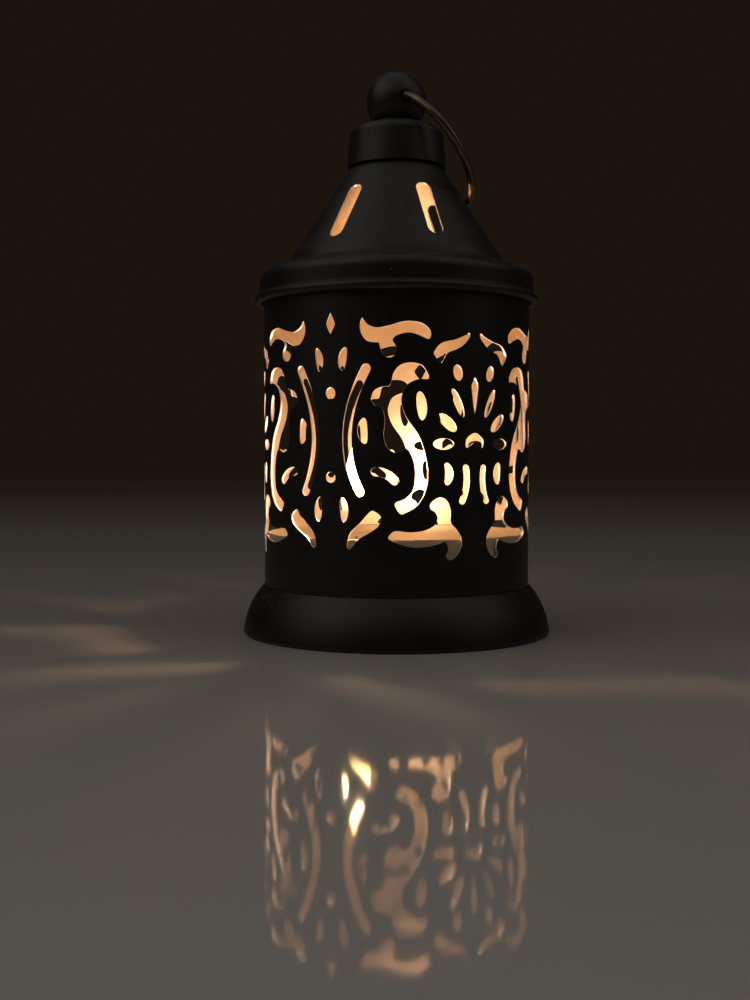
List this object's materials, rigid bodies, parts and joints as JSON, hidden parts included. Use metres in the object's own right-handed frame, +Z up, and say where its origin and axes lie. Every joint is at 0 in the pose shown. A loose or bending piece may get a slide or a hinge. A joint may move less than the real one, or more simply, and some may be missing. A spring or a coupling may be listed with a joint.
{
  "type": "pierced metal lantern",
  "caption": "Round sheet-metal candle lantern with a low foot, a drum pierced with scrolls and flowers, a slotted cone roof and a ball finial that carries a swinging ring.",
  "frame": {"origin": "centre of the foot's underside, on the plane that it stands on", "axes": "+Z up along the lantern's axis, -Y towards the side seen in the picture, +X to the right in the picture"},
  "size_m": [0.09, 0.09, 0.1636],
  "materials": {
    "black_paint": "satin black paint",
    "bare_tin": "bare tinned sheet, semi-gloss",
    "dark_wire": "dark glossy wire",
    "steel": "zinc-plated steel",
    "aluminium": "thin pressed sheet",
    "wax": "pale candle wax",
    "wick": "charred cotton"
  },
  "bodies": {
    "base": {"base_skirt": "black_paint", "candle_tray": "bare_tin"},
    "housing": {"body_shell": "black_paint", "roof_brim": "black_paint", "roof_cone": "black_paint", "roof_cap": "black_paint", "finial_spacer": "black_paint", "finial_ball": "black_paint", "finial_screw": "steel", "screw_washer": "steel"},
    "ring": {"ring_handle": "dark_wire"},
    "candle": {"candle_cup": "aluminium", "candle_wax": "wax", "wick_plate": "steel", "candle_wick": "wick"}
  },
  "joints": [
    {"name": "housing_lift", "type": "slide", "parent": "base", "child": "housing", "axis": [0, 0, 1], "range_m": [0, 0.06]},
    {"name": "ring_swing", "type": "hinge", "parent": "housing", "child": "ring", "pos_m": [0, 0, 0.15488], "axis": [0.342, -0.9397, 0], "range_deg": [0, 286]},
    {"name": "candle_lift", "type": "slide", "parent": "base", "child": "candle", "axis": [0, 0, 1], "range_m": [0, 0.03]}
  ]
}
